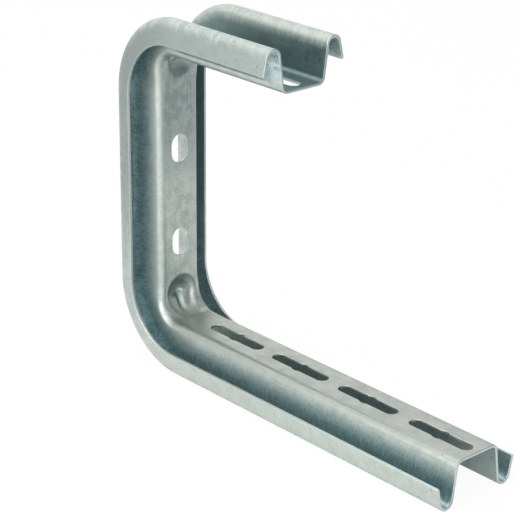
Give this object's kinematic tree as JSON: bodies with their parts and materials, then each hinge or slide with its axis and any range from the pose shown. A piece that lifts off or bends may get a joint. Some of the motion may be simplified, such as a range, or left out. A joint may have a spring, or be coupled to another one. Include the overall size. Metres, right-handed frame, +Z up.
{
  "type": "cable tray bracket",
  "caption": "C-shaped folded steel bracket with hooked edges: slotted lower arm carries a cable tray, back bolts to a wall, short upper arm hangs from a ceiling.",
  "frame": {"origin": "on the surface the lower arm rests on, under the middle of the overall length and on the mid-plane", "axes": "+X along both arms to their tips, away from the wall; +Y across the section; +Z up from the lower to the upper arm"},
  "size_m": [0.245, 0.0546, 0.2],
  "materials": {
    "galvanised_steel": "dull grey zinc coating with faint mottling and rolling streaks"
  },
  "bodies": {
    "root": {"tray_bracket": "galvanised_steel"}
  },
  "joints": []
}
